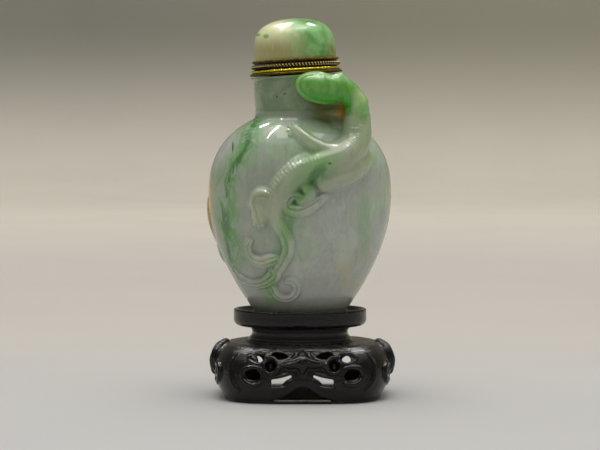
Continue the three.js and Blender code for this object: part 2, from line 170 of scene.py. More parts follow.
def leaning(x, y, z):
    """Radius and height about the axis of the neck, which leans to the left"""
    dx, dz = x - NECK_FOOT[0], z - NECK_FOOT[2]
    across = dx * LEAN_COS + dz * LEAN_SIN
    return np.hypot(across, y), -dx * LEAN_SIN + dz * LEAN_COS


def dot(offset, axis):
    """How far an offset, given as its three parts, goes along an axis"""
    return offset[0] * axis[0] + offset[1] * axis[1] + offset[2] * axis[2]


def rounded(parts, radii, deepest):
    """Distance to an ellipsoid, from the parts of an offset along its axes"""
    flat = np.sqrt(sum((part / radius) ** 2 for part, radius in zip(parts, radii)))
    steep = np.sqrt(sum((part / radius**2) ** 2 for part, radius in zip(parts, radii))) + 1e-6
    return np.where(flat < CORE, -deepest, flat * (flat - 1) / steep)


# ---- limbs and lumps


def body_outward(place):
    """The direction away from the bottle's skin"""
    spots = place + NUDGE * np.vstack([np.eye(3), -np.eye(3)])
    share = [float(np.hypot(*(spot[:2] / np.array(body_size(min(spot[2], TOP)))))) for spot in spots]
    slope = np.array(share[:3]) - np.array(share[3:])
    return slope / np.linalg.norm(slope)


def raised_from(place, rise, radius):
    return np.append(place + rise * body_outward(place), radius)


def on_front(rows):
    """A limb's points on the bottle's front, from rows of across, height, rise from the skin and radius"""
    points = []
    for x, z, rise, radius in rows:
        a, b = body_size(z)
        points.append(raised_from(np.array([x, -b * math.sqrt(1 - (x / a) ** 2), z]), rise, radius))
    return points


def around(degrees, z, rise, radius):
    """A limb's point at an angle round the bottle from its front, positive to the right"""
    a, b = body_size(z)
    c, s = cos_sin(degrees)
    heading = np.array([s, -c])
    flat = heading / np.hypot(heading[0] / a, heading[1] / b)
    return raised_from(np.array([*flat, z]), rise, radius)


def spiral(centre, radii, angles, count, rise, girths):
    """Rows round a hook or spiral, whose size, angle and girth each go from one number to another"""
    rows = []
    for t in np.linspace(0, 1, count + 1):
        radius, angle, girth = (first + (last - first) * t for first, last in (radii, angles, girths))
        c, s = cos_sin(angle)
        rows.append((centre[0] + radius * c, centre[1] + radius * s, rise, girth))
    return rows


def smooth_route(rows, per_span=PER_SPAN):
    """Rows of numbers joined by a Catmull-Rom curve"""
    rows = np.array(rows, float)
    padded = np.vstack([2 * rows[0] - rows[1], rows, 2 * rows[-1] - rows[-2]])
    made = []
    for i in range(len(rows) - 1):
        a, b, c, d = padded[i : i + 4]
        for t in np.arange(per_span) / per_span:
            bend = (2 * a - 5 * b + 4 * c - d) * t**2 + (3 * b - a - 3 * c + d) * t**3
            made.append(0.5 * (2 * b + (c - a) * t + bend))
    return np.array([*made, rows[-1]])


class Form:
    """A form with a soft edge, worked out only inside its own bounds"""

    def blend(self, way, region, field):
        """Joins the form to a field or cuts it from one"""
        index = region.within(self.low, self.high)
        near = region.part(index)
        if not near.empty():
            field[index] = way(field[index], self.distance(near), self.soft)


class Limb(Form):
    """A carved limb along a route, with its own width, height and surface"""

    def __init__(self, rows, height=1, soft=0.35, finish=None, outward=body_outward):
        self.route = smooth_route(rows)
        self.height = height
        self.finish = finish
        places = self.route[:, :3]
        self.outward = np.array([outward(place) for place in places])
        reach = self.route[:, 3].max() + soft + MARGIN
        self.soft, self.low, self.high = soft, places.min(0) - reach, places.max(0) + reach

    def distance(self, region):
        best = np.full(region.shape, 1e3, np.float32)
        step, length, side = np.zeros_like(best), np.zeros_like(best), np.zeros_like(best)
        passed = 0
        for i in range(len(self.route) - 1):
            a, b = self.route[i, :3], self.route[i + 1, :3]
            first, last = self.route[i, 3], self.route[i + 1, 3]
            size = np.linalg.norm(b - a)
            if size < 1e-6:
                continue
            along = (b - a) / size
            reach = max(first, last) * max(1, self.height) + self.soft + MARGIN
            index = region.within(np.minimum(a, b) - reach, np.maximum(a, b) + reach)
            near = region.part(index)
            if near.empty():
                continue
            offset = [place - start for place, start in zip(near.places(), a)]
            run = dot(offset, along)
            t = np.clip(run / size, 0, 1)
            out = self.outward[i] + self.outward[i + 1]
            out = out - out.dot(along) * along
            out = out / np.linalg.norm(out)
            wide = dot(offset, np.cross(along, out))
            radius = first + (last - first) * t
            tall = radius * self.height
            parts = (run - t * size, wide, dot(offset, out))
            found = rounded(parts, (radius, radius, tall), np.minimum(radius, tall))
            closer = found < best[index]
            best[index] = np.where(closer, found, best[index])
            step[index] = np.where(closer, (i + t) / PER_SPAN, step[index])
            length[index] = np.where(closer, passed + t * size, length[index])
            side[index] = np.where(closer, wide / radius, side[index])
            passed += size
        if self.finish:
            best = best + self.finish(step, length, side)
        return best


class Lump(Form):
    """An ellipsoid, turned about Y by a tilt"""

    def __init__(self, centre, radii, tilt=0, soft=0.35):
        c, s = cos_sin(tilt)
        self.axes = np.array([[c, 0, s], [0, 1, 0], [-s, 0, c]])
        self.centre, self.radii = np.array(centre), np.array(radii)
        reach = max(radii) + soft + MARGIN
        self.soft, self.low, self.high = soft, self.centre - reach, self.centre + reach

    def distance(self, region):
        offset = [place - middle for place, middle in zip(region.places(), self.centre)]
        return rounded([dot(offset, axis) for axis in self.axes.T], self.radii, self.radii.min())


# ---- grids into meshes


def skin_of(form, low, high):
    """A closed sheet of four-sided faces where a form passes through zero"""
    axes = [np.arange(low[i] - 2 * PITCH, high[i] + MARGIN, PITCH) for i in range(3)]
    field = form(Region(axes=axes))
    inside = field < 0
    cells = np.array(field.shape)
    rings, hits = [], []
    for axis in range(3):
        lower = tuple(slice(0, -1) if i == axis else slice(None) for i in range(3))
        upper = tuple(slice(1, None) if i == axis else slice(None) for i in range(3))
        flips = inside[lower] != inside[upper]
        spots = np.argwhere(flips)
        at, after = field[lower][flips], field[upper][flips]
        hit = np.stack([axes[i][spots[:, i]] for i in range(3)], 1)
        hit[:, axis] += PITCH * at / (at - after)
        b, c = (axis + 1) % 3, (axis + 2) % 3
        ring = []
        for back_b, back_c in ((0, 0), (1, 0), (1, 1), (0, 1)):
            cell = spots.copy()
            cell[:, b] -= back_b
            cell[:, c] -= back_c
            ring.append(np.ravel_multi_index(cell.T, cells))
        ring = np.stack(ring, 1)
        leaving = inside[lower][flips]
        ring[~leaving] = ring[~leaving][:, ::-1]
        rings.append(ring)
        hits.append(np.repeat(hit, 4, 0))
    rings = np.concatenate(rings)
    hits = np.concatenate(hits)
    _, corner = np.unique(rings.ravel(), return_inverse=True)
    count = np.bincount(corner)
    spots = np.stack([np.bincount(corner, hits[:, i]) / count for i in range(3)], 1)
    return spots, corner.reshape(-1, 4)


def slope_of(form, points):
    """A form's value and its slope at loose points"""
    e = 0.03
    signs = np.array([[1, -1, -1], [-1, -1, 1], [-1, 1, -1], [1, 1, 1]])
    values = np.array([form(Region(points=points + e * sign)) for sign in signs])
    return values.mean(0), values.T @ signs / (4 * e)


def settle(form, points):
    """Moves points onto the surface of a form"""
    for _ in range(3):
        value, slope = slope_of(form, points)
        steep = np.maximum((slope**2).sum(1), 0.2)
        points = points - (np.clip(value, -PITCH, PITCH) / steep)[:, None] * slope
    return points


def added(name, data):
    """A new object of the scene"""
    thing = bpy.data.objects.new(name, data)
    bpy.context.scene.collection.objects.link(thing)
    return thing


def mesh_piece(name, spots, faces):
    mesh = bpy.data.meshes.new(name)
    mesh.from_pydata(spots, [], faces)
    return added(name, mesh)


def carved(name, form, low, high):
    """A piece from a form, and its corners: the grid's skin, thinned, then settled on the true surface"""
    spots, faces = skin_of(form, low, high)
    piece = mesh_piece(name, spots.tolist(), faces.tolist())
    mesh = piece.data
    if 2 * len(faces) > TRIANGLES:
        thin = piece.modifiers.new("thin", "DECIMATE")
        thin.ratio = TRIANGLES / (2 * len(faces))
        graph = bpy.context.evaluated_depsgraph_get()
        mesh = bpy.data.meshes.new_from_object(piece.evaluated_get(graph))
        piece.modifiers.clear()
        piece.data = mesh
        mesh.name = name
    spots = np.zeros(3 * len(mesh.vertices), np.float32)
    mesh.vertices.foreach_get("co", spots)
    spots = settle(form, spots.reshape(-1, 3).astype(float))
    _, slope = slope_of(form, spots)
    normals = slope / np.linalg.norm(slope, axis=1)[:, None]
    mesh.vertices.foreach_set("co", (spots * MM).astype(np.float32).ravel())
    mesh.shade_smooth()
    mesh.normals_split_custom_set_from_vertices(normals.tolist())
    mesh.update()
    # how closed in each corner is; the materials use it for dust and for painted shade in the creases
    crease = np.zeros(len(spots))
    for reach in (0.6, 1.4):
        room = form(Region(points=spots + reach * normals)) / reach
        crease += 0.5 * np.clip(1 - room, 0, 1)
    write(mesh, "crease", crease)
    return piece, spots


def write(mesh, name, values):
    layer = mesh.attributes.new(name, "FLOAT", "POINT")
    layer.data.foreach_set("value", values.astype(np.float32))


def band(near, far, count):
    """Faces between two rings of corners, which start at near and at far"""
    return [(near + i, near + (i + 1) % count, far + (i + 1) % count, far + i) for i in range(count)]


def sheet(rings, closed_rows=False):
    """Points and faces of a shell from closed rings, which close on themselves or have filled ends"""
    count = len(rings[0])
    spots = [tuple(np.array(p) * MM) for ring in rings for p in ring]
    faces = []
    for row in range(len(rings) if closed_rows else len(rings) - 1):
        faces += band(row * count, (row + 1) % len(rings) * count, count)
    if not closed_rows:
        for ring, way in ((0, -1), (len(rings) - 1, 1)):
            centre = len(spots)
            spots.append(tuple(np.mean(spots[ring * count : (ring + 1) * count], 0)))
            corners = [ring * count + i for i in range(count)]
            faces += [(a, b, centre)[::way] for a, b in zip(corners, corners[1:] + corners[:1])]
    return spots, faces


# ---- the bottle


def notches(step, length, side, first, last, pitch, depth, near=-2, far=2, sharp=3):
    """Fine cuts across a limb between two of its points, over part of its width"""
    fade = np.clip((step - first) * 2, 0, 1) * np.clip((last - step) * 2, 0, 1)
    over = np.clip((side - near) * 4, 0, 1) * np.clip((far - side) * 4, 0, 1)
    return depth * fade * over * np.abs(np.cos(math.pi * length / pitch)) ** sharp


def groove(side, place, width, depth):
    return depth * np.exp(-(((side - place) / width) ** 2))


def trunk_finish(step, length, side):
    chest = notches(step, length, side, 1.6, 6, 0.8, 0.05, -0.75, 0.95, 4)
    spine = notches(step, length, side, 7, 11.6, 0.75, 0.15, 0.25, 1.4, 3)
    back = groove(side, 0.25, 0.16, 0.1) * np.clip(step - 5.5, 0, 1) * np.clip(12 - step, 0, 1)
    return chest + spine + back


def ridged(*places):
    """A surface with a groove along the limb at each place across it, from -1 to 1"""

    def finish(step, length, side):
        ease = np.clip(step * 1.5, 0, 1)
        return sum(groove(side, place, 0.15, 0.34) for place in places) * ease

    return finish


def dragon():
    """The chilong, from its head at the stopper to its curled tail"""
    throat = [(7.8, -11, 66.2, 2.7), (10, -11, 65, 2.5), (11.5, -10.4, 63.2, 2.4)]
    throat += [(12, -10, 61.2, 2.6), (12, -9.8, 58, 3)]
    trunk = [(11.2, 54, 0.6, 3.2), (8.6, 51.3, 0.4, 3.2), (4.8, 50, 0.1, 3), (0.8, 48.9, 0, 2.9)]
    trunk += [(-2.3, 46.7, -0.1, 2.7), (-4.7, 43.4, -0.3, 2.4), (-5.4, 40.2, -0.4, 2)]
    trunk.append((-4.4, 37.3, -0.3, 1.6))
    tail = [(-4.4, 37.8, 0, 1.35), (-3, 35, 0, 1.45), (-2.4, 32.4, 0, 1.45), (-3.6, 29.4, 0, 1.35)]
    tail += [(-5.2, 26.9, 0, 1.2), *spiral((-2.6, 24.3), (3.3, 1.2), (165, 450), 7, 0, (1.15, 0.9))]
    near_foreleg = [(10.2, 54, 0.6, 2), (6.3, 52.9, 0.5, 1.7), (3.4, 53.9, 0.4, 1.4)]
    near_foreleg += [(0.8, 55.7, 0.4, 1.15), (-0.8, 57, 0.4, 1.15)]
    haunch = [(13.6, 51, 0, 1.8), (11.2, 49.2, 0, 2.7), (8.2, 47.8, 0, 2.9), (5.2, 46.6, 0, 2.3)]
    flame = [(5.2, 43.4, 0, 0.9), (2.7, 41.5, 0.1, 1.3), (0.2, 40.3, 0.1, 1.4)]
    flame += spiral((-0.9, 42.3), (2.1, 0.9), (230, 20), 5, 0.1, (1.3, 0.9))
    thigh = [(1.4, 45.4, 0.2, 1.3), (2, 43.8, 0.2, 1.4), (0.4, 42.4, 0.1, 1.1)]
    far_hindleg = [(-5.2, 43.2, 0, 1.7), (-8.4, 43.6, 0.1, 1.5), (-9.4, 42.2, 0.2, 1.3)]
    far_hindleg += [(-8.9, 40.4, 0.2, 1.3), (-8.5, 38.9, 0.1, 1.7)]
    upper_tuft = [(-5, 30.4, 0.1, 1), *spiral((-8.1, 32.7), (3.2, 2.7), (305, 150), 6, 0.2, (1.5, 0.9))]
    lower_tuft = [(-5.8, 28, 0.1, 0.9), *spiral((-9.5, 29.6), (5, 4.7), (325, 205), 6, 0.15, (1.6, 0.7))]
    mane = [(8.2, -11.8, 67.8, 1.4), (10.6, -12, 65.8, 1.2), (12.7, -11.2, 63, 1.6)]
    return [
        Limb([*throat, *on_front(trunk)], finish=trunk_finish, soft=0.9),
        Limb(on_front(tail), height=0.85, finish=ridged(0.1)),
        Limb(on_front(haunch), soft=0.7),
        Limb(on_front(near_foreleg), soft=0.8),
        Limb(on_front(flame), height=0.9, soft=0.4, finish=ridged(0.2)),
        Limb(on_front(thigh), soft=0.5),
        Limb(on_front(far_hindleg), soft=0.9, finish=ridged(-0.1)),
        Limb(on_front(upper_tuft), height=0.85, finish=ridged(-0.4, 0.25), soft=0.3),
        Limb(on_front(lower_tuft), height=0.85, finish=ridged(-0.35, 0.3), soft=0.3),
        Limb(mane, soft=0.4),
    ]


def toes(paw, start, rise, girth, soft, ways):
    """Toes that spread from a paw by (angle, length), and sink and thin out toward their tips"""
    forms = []
    for degrees, long in ways:
        dx, dz = cos_sin(degrees)
        rows = []
        for s in (start, long * 0.6, long):
            rows.append((paw[0] + dx * s, paw[1] + dz * s, rise[0] - rise[1] * s, girth[0] - girth[1] * s))
        forms.append(Limb(on_front(rows), soft=soft))
    return forms


def claws():
    """Toes of the near forepaw and of the far hind paw"""
    near_ways = ((205, 1.7), (178, 1.9), (150, 1.9), (120, 1.6))
    far_ways = ((235, 1.5), (270, 1.7), (305, 1.5))
    near = toes((-0.7, 56.9), 0, (0.35, 0.1), (0.5, 0.1), 0.15, near_ways)
    return near + toes((-8.5, 38.7), 0.3, (0.5, 0.2), (0.75, 0.12), 0.2, far_ways)


HEAD, HEAD_RADII, HEAD_TILT = np.array([4.4, -11.2, 66]), (5.2, 3.1, 3.35), 16


def on_head(along, up, rise, radius):
    """A limb's point on the near side of the head, along its length and up it as shares of its size"""
    c, s = cos_sin(HEAD_TILT)
    u, v = along * HEAD_RADII[0], up * HEAD_RADII[2]
    deep = HEAD_RADII[1] * math.sqrt(max(0.02, 1 - along**2 - up**2)) + rise
    return np.append(HEAD + (u * c + v * s, -deep, -u * s + v * c), radius)


def head_forms():
    """The head and its brows, the lock and the web of stone behind it, and the fill of the far hind leg"""
    return [
        Lump(HEAD, HEAD_RADII, HEAD_TILT, soft=0.6),
        Lump([2.2, -11, 66], [3.3, 2.6, 2.6], 30, soft=0.6),
        Lump([2.4, -12.3, 67.2], [2.2, 1.7, 1.5], 8, soft=0.7),
        Lump([6.8, -12.5, 67], [2.6, 1.9, 1.5], 24, soft=0.8),
        Lump([12.5, -12, 62.7], [1.6, 1.3, 2.3], -24, soft=0.5),
        Lump([8.8, -6, 60.6], [4.8, 2.7, 5.6], -8, soft=2.2),
        Lump(on_front([(-7.4, 41.5, -0.2, 0)])[0][:3], [1.9, 1.2, 2.4], soft=1),
    ]


def head_cuts():
    """The line that sets off the lip, and the cleft between the brows"""
    lip = [(-0.5, 0.62), (-0.78, 0.3), (-0.86, -0.1), (-0.7, -0.5), (-0.35, -0.76), (0.05, -0.84)]
    lip.append((0.4, -0.78))
    cleft = [(-0.12, 0.96), (-0.06, 0.7), (0.06, 0.42)]
    return [
        Limb([on_head(along, up, 0.12, 0.17) for along, up in lip]),
        Limb([on_head(along, up, 0.5, 0.4) for along, up in cleft], soft=0.4),
    ]


def skin_relief():
    """The low relief left in the stone's ochre skin"""
    spray = [(-104, 29.5, -0.4, 0.9), (-99, 33.5, -0.6, 1.3), (-96, 37.5, -0.8, 1.7)]
    spray += [(-97, 41.5, -0.85, 1.55), (-106, 44.5, -0.6, 1.3)]
    leaf = [(-96, 36, -0.6, 1.2), (-112, 38.5, -0.5, 1.6), (-126, 36.5, -0.4, 1)]
    root = [(-93, 32.2, -0.3, 0.7), (-90, 30.2, -0.3, 0.8), (-95, 28.4, -0.3, 0.6)]
    routes = [[around(*row) for row in rows] for rows in (spray, leaf, root)]
    return [Limb(route, soft=0.25, finish=ridged(0)) for route in routes]


BOTTLE_FORMS = [*dragon(), *claws(), *head_forms(), *skin_relief()]
BOTTLE_CUTS = head_cuts()
NECK_SIDE = 9.15  # radius of the neck above its foot
NECK_ROWS = [[0, -4], [9.1, -4], [NECK_SIDE, 1.5], [9.25, 4.5], [9.3, 8.75], [9.6, 8.95], [9.75, 9.15]]
NECK_ROWS += [[9.7, NECK_HEIGHT], [0, NECK_HEIGHT]]


def hollow_size(z):
    """Half width and half depth of the hollow at a height"""
    across, deep = body_size(z)
    height = np.clip(z - FOOT - FLOOR, 0, 4)
    share = 1 - 0.55 * (1 - height / 4) ** 2
    wall = WALL + np.maximum(0, z - 50) * 0.125
    return share * (across - wall), share * (deep - wall)


def bottle_form(region):
    x, y, z = region.places()
    body = np.maximum(body_distance(x, y, z), FOOT - z)
    r, h = leaning(x, y, z)
    field = join(body, outline_distance(r, h, NECK_ROWS), 1)
    for form in BOTTLE_FORMS:
        form.blend(join, region, field)
    for form in BOTTLE_CUTS:
        form.blend(cut, region, field)
    bottom, ceiling = FOOT + FLOOR, FOOT + FLOOR + HOLLOW_HEIGHT
    room = oval(x, y, np.clip(z, bottom, ceiling), hollow_size)
    room = np.maximum(np.maximum(room, bottom - z), z - ceiling)
    bore = np.maximum(r - BORE, -BORE_DEPTH - h)
    field = cut(field, join(room, bore, 0.5), 0.2)
    a, b = body_size(np.array(FOOT))
    recess = (np.hypot(x / (a - FOOT_RIM), y / (b - FOOT_RIM)) - 1) * (b - FOOT_RIM)
    return cut(field, np.maximum(recess, z - FOOT - FOOT_RECESS), 0.2)


# ---- the stopper


def on_axis(radius, turn, height):
    """A point round the neck's leaning axis"""
    across, y = radius * math.cos(turn), radius * math.sin(turn)
    x = NECK_FOOT[0] + across * LEAN_COS - height * LEAN_SIN
    return x, y, NECK_FOOT[2] + across * LEAN_SIN + height * LEAN_COS


def turned_rings(rows, count=128):
    """Rings of a turned form about the leaning axis, from [radius, height] rows"""
    turns = [2 * math.pi * i / count for i in range(count)]
    return [[on_axis(radius, turn, height) for turn in turns] for radius, height in rows]


def twisted_wire(radius, height, girth, strand, twists, per_twist=8):
    """Two wires twisted together and bent into a ring"""
    shells = []
    steps = twists * per_twist
    spokes = [2 * math.pi * i / 6 for i in range(6)]
    for phase in (0, math.pi):
        rings = []
        for i in range(steps):
            turn = 2 * math.pi * i / steps
            angle = twists * turn + phase
            r, h = radius + girth * math.cos(angle), height + girth * math.sin(angle)
            rings.append([on_axis(r + strand * math.cos(a), turn, h + strand * math.sin(a)) for a in spokes])
        shells.append(sheet(rings, closed_rows=True))
    return shells


def gathered(name, shells):
    """One piece from several closed shells of (points, faces)"""
    spots, faces = [], []
    for shell_spots, shell_faces in shells:
        faces += [tuple(len(spots) + i for i in face) for face in shell_faces]
        spots += shell_spots
    piece = mesh_piece(name, spots, faces)
    piece.data.validate()
    piece.data.shade_smooth()
    return piece


def gilt_collar():
    """The gilt ring under the cap: a flange, a polished ring, a rope of twisted wire and a beaded top ring"""
    flange = [(8, 0), (9.7, 0), (9.9, 0.06), (9.95, 0.2), (9.88, 0.4), (9.7, 0.5), (9.3, 0.54)]
    barrel = [(9, 1.18), (8.85, 1.28), (8.85, 2.6), (9.05, 2.7), (9.12, 2.85), (9.08, 3.22), (9, 3.28)]
    seat = [(8.9, 3.26), (8.88, SEAT), (6, SEAT)]
    turns = [math.pi * i / 6 - math.pi / 2 for i in range(7)]
    ring = [(9.3 + 0.42 * math.cos(turn), 0.28 * math.sin(turn)) for turn in turns]
    rows = shifted(0, COLLAR_UNDER, flange) + shifted(0, COLLAR_UNDER + 0.85, ring)
    shells = [sheet(turned_rings(rows + shifted(0, COLLAR_UNDER, barrel + seat)))]
    shells += twisted_wire(9.12, COLLAR_UNDER + ROPE_HEIGHT, 0.24, 0.22, ROPE_TWISTS)
    shells += twisted_wire(9.08, COLLAR_UNDER + 2.98, 0.1, 0.13, 96, per_twist=6)
    return gathered("collar_gilt", shells)


def jade_cap():
    """The tall cabochon over the collar"""
    seat = COLLAR_UNDER + SEAT + 0.05
    rows = [(CAP_RADIUS - 1.6, seat), (CAP_RADIUS - 0.25, seat), (CAP_RADIUS - 0.05, seat + 0.12)]
    top = COLLAR_UNDER + SEAT + GAP + CAP_HEIGHT - seat
    for i in range(1, CAP_ROWS):
        t = math.sin(math.pi / 2 * i / CAP_ROWS)
        rows.append((CAP_RADIUS * (1 - t**4.2) ** (1 / 2.2), seat + top * t))
    return gathered("cap_carved", [sheet(turned_rings(rows, 144))])


# ---- the stand


STAND_ROWS = shifted(STAND_FOOT, 0, [(-0.3, 0), (0, 0.25), (0.2, 0.9)])
STAND_ROWS += shifted(STAND_BELLY, 0, [(-1.1, 2.1), (-0.55, 3.2), (-0.2, 4.5), (0, 6.8), (-0.2, 8.6)])
STAND_ROWS += [(STAND_BELLY - 0.9, 10)]
STAND_ROWS += shifted(PLATE_RADIUS, 0, [(0.4, 11), (-0.3, 11.5), (-1.4, PLATE_TOP)])
STAND_ROWS = smooth_route(STAND_ROWS, 4)
MOUTH, ROOM = 14, STAND_BELLY - STAND_WALL
ROOM_ROWS = [(MOUTH, -1), (MOUTH, FOOT_HEIGHT + 0.3), (ROOM, 3.6), (ROOM, 8.6), (ROOM - 1.4, CEILING)]
ROOM_ROWS = np.array(ROOM_ROWS)
PEDESTAL_ROWS = [
    (0, PLATE_TOP - 1),
    *shifted(WAIST_FOOT, PLATE_TOP, [(0, -1), (0, 0.2), (-0.15, 0.4), (-0.6, 0.45)]),
    *shifted(WAIST_FOOT, 0, [(-0.55, 12.6), (-0.85, 12.9)]),
    *shifted(WAIST, 0, [(0.05, 13.3), (-0.05, 13.9), (0.2, 14.5), (0.7, 14.9)]),
    *shifted(DISH_RADIUS, DISH_UNDER, [(-1.5, 0), (-0.7, 0.2), (-0.2, 0.65), (0, 1.3)]),
    *shifted(DISH_RADIUS, DISH_RIM, [(0, -0.35), (-0.1, -0.1), (-0.35, 0), (-0.75, -0.02), (-1.1, -0.25)]),
    (DISH_RADIUS - 1.6, DISH_RIM - 0.8),
    (DISH_RADIUS - 3.6, FOOT),
    (0, FOOT),
]
WING_HOLE = [(2.4, 6.1), (4.2, 5.55), (6.4, 5.1), (6.3, 3.9), (5.2, 3.95), (4.2, 4.2)]
WING_HOLE += [(3.5, 4.95), (2.4, 5.55)]
OGEE = np.array([(0, 3.7), (0.8, 3.65), (1.6, 3.25), (2.4, 2.6), (3.1, 2.05), (4.8, 1.3), (6.8, FOOT_HEIGHT)])
FLAT_ARCH = np.array([(0, 3.85), (1.4, 3.15), (3, 2.65), (4.8, 2.35), (6.6, 1.95), (7.6, FOOT_HEIGHT)])


def stand_plan(z):
    """Depth over width, and squareness, of the stand's plan at a height"""
    t = np.clip(z / PLATE_TOP, 0, 1)
    return 0.96 + (0.85 - 0.96) * t, 3.4 + (2.6 - 3.4) * t


def plan_distance(x, y, z, rows):
    """Distance to a rounded-square form whose half width follows the height"""
    ratio, power = stand_plan(z)
    reach = (np.abs(x) ** power + np.abs(y / ratio) ** power + 1e-9) ** (1 / power)
    radius = np.interp(z, rows[:, 1], rows[:, 0])
    slope = np.interp(z, rows[:, 1], np.gradient(rows[:, 0], rows[:, 1]))
    return (reach - radius) / np.sqrt(1 + slope**2)


def stand_outward(place):
    """The direction away from the stand's skin"""
    spots = place + NUDGE * np.vstack([np.eye(3), -np.eye(3)])
    value = plan_distance(spots[:, 0] - SHIFT, spots[:, 1], spots[:, 2], STAND_ROWS)
    slope = value[:3] - value[3:]
    return slope / np.linalg.norm(slope)


def on_apron(side, u, z, rise, radius):
    """A limb's point raised from an apron: 0 front, 1 right, 2 back, 3 left; u across, z up"""
    ratio, power = stand_plan(z)
    along = np.interp(z, STAND_ROWS[:, 1], STAND_ROWS[:, 0])
    wide, deep = (along * ratio, along) if side % 2 else (along, along * ratio)
    out = deep * (1 - abs(u / wide) ** power) ** (1 / power) + rise
    turn = side * math.pi / 2
    x, y = u * math.cos(turn) + out * math.sin(turn), u * math.sin(turn) - out * math.cos(turn)
    return np.array([x + SHIFT, y, z, radius])


def ellipse_distance(u, z, centre, radii, tilt):
    c, s = cos_sin(tilt)
    du, dz = u - centre[0], z - centre[1]
    share = np.hypot((du * c + dz * s) / radii[0], (dz * c - du * s) / radii[1])
    return (share - 1) * min(radii)


def arch_distance(u, z, rows):
    """Distance below the arch between two feet, from rows of [across, height]"""
    return np.maximum((z - np.interp(u, rows[:, 0], rows[:, 1])) * 0.8, FOOT_HEIGHT - z)


def apron_holes(u, z, is_end):
    """The pierced holes of an apron above its arch, the same on both sides of its middle"""
    ovals = [((10.4, 5.9), (1.6, 1.2), 0), ((4.7, 9.9), (1.8, 0.75), 8), ((9.1, 9.25), (1.15, 0.8), -30)]
    if is_end:
        ovals = [((9.6, 6.6), (1.9, 1.5), 0)]
    holes = outline_distance(np.abs(u), z, WING_HOLE) - 0.1
    for hole in ovals:
        holes = np.minimum(holes, ellipse_distance(np.abs(u), z, *hole))
    return holes


def apron_carving(side):
    """The bat, scrolls and leaves of one apron"""
    is_end = side % 2 == 1
    spread = END_APRON if is_end else 1
    forms = []

    def stroke(rows, way=1, soft=0.2, finish=None):
        points = [on_apron(side, way * u * spread, z, rise, radius) for u, z, rise, radius in rows]
        forms.append(Limb(points, soft=soft, finish=finish, outward=stand_outward))

    for way in (-1, 1):
        stroke([(2.6, 6.45, -0.1, 0.3), (4.6, 5.95, -0.05, 0.35), (6.9, 5.6, -0.1, 0.3)], way)
        stroke([(2.2, 5, -0.1, 0.3), (3.6, 3.6, -0.1, 0.4), (6.6, 3.2, -0.15, 0.4)], way)
        curl = [(8.8, 7.5, 0, 0.4), (10.6, 7.7, 0.1, 0.55), (12.3, 7, 0.1, 0.65), (12.5, 5.2, 0.1, 0.6)]
        stroke([*curl, (10.8, 4.1, 0.05, 0.55), (9, 4.3, 0.1, 0.45)], way)
        if is_end:
            continue
        corner = [(13.7, 10.1, -0.05, 0.45), (14.8, 8.6, 0, 0.6), (15, 6.4, 0, 0.65)]
        stroke([*corner, (14.5, 4.3, -0.05, 0.6), (13.2, 2.9, -0.1, 0.45)], way, finish=ridged(0))
        stroke(spiral((6.7, 8), (1.75, 1.4), (75, 380), 8, 0.1, (0.5, 0.42)), way)
        wing = [(0.5, 8.9, 0.2, 1.3), (2.4, 8.5, 0.25, 1), (4.2, 8.3, 0.15, 0.65), (5.4, 7.4, 0.1, 0.5)]
        stroke(wing, way, 0.5, ridged(0.1))
        stroke([(1.9, 10.5, 0.1, 0.35), (3, 9.35, 0.1, 0.4), (4.8, 8.95, 0.05, 0.4)], way)
        stroke([(11.2, 9.6, 0, 0.45), (9.9, 10.35, 0.05, 0.45), (8, 10.3, 0, 0.35)], way)
        stroke([(11, 8.9, -0.1, 0.4), (9.6, 8.3, 0, 0.4), (8.2, 8.6, -0.05, 0.35)], way)
    if is_end:
        leaf = [(1.5, 11.2, 0, 1), (3.25, 10, 0.08, 1.2), (3.75, 8, 0.08, 1.2), (2.25, 5.7, -0.05, 1)]
        for way in (-1, 1):
            stroke(leaf, way, 0.3, ridged(-0.3, 0.3))
    else:
        stroke([(0, 9.9, 0.1, 1.1), (0, 8.6, 0.35, 1.2), (0, 7.4, 0.3, 0.8), (0, 6.7, 0.05, 0.5)], soft=0.5)
    if side == 0:  # a web of wood narrows the left outer hole in front to a slit
        stroke([(-10.9, 9.9, -0.5, 0.6), (-10.1, 9.3, -0.5, 0.75), (-9.7, 8.4, -0.5, 0.6)])
    return forms


def scroll_pits():
    """The hollows inside the scrolls beside the bat, on the front and the back"""
    places = [on_apron(side, way * 6.7, 8.05, 0.2, 0)[:3] for side in (0, 2) for way in (-1, 1)]
    return [Lump(place, [1, 1.5, 1.15], soft=0.25) for place in places]


STAND_FORMS = [form for side in range(4) for form in apron_carving(side)]
STAND_CUTS = scroll_pits()


def stand_form(region):
    x, y, z = region.places()
    u = x - SHIFT
    field = plan_distance(u, y, z, STAND_ROWS)
    room = np.maximum(plan_distance(u, y, z, ROOM_ROWS), z - CEILING)
    field = cut(field, room, 0.3)
    front_arch = np.maximum(arch_distance(np.abs(u), z, OGEE), y + 5)
    back_arch = np.maximum(arch_distance(np.abs(u), z, FLAT_ARCH), 5 - y)
    holes = np.minimum(apron_holes(u, z, False), np.minimum(front_arch, back_arch))
    field = cut(field, np.maximum(holes, np.abs(u) - 14), 0.25)
    across = np.abs(y) / END_APRON
    holes = np.minimum(apron_holes(across, z, True), arch_distance(across, z, OGEE))
    field = cut(field, np.maximum(holes, np.abs(y) - 12), 0.25)
    field = np.maximum(field, z - PLATE_TOP)
    for form in STAND_FORMS:
        form.blend(join, region, field)
    for form in STAND_CUTS:
        form.blend(cut, region, field)
    field = np.maximum(field, -z)
    pedestal = outline_distance(np.hypot(x, y / DISH_DEPTH), z, PEDESTAL_ROWS) * 0.9
    return join(field, pedestal, 0.15)


# ---- materials


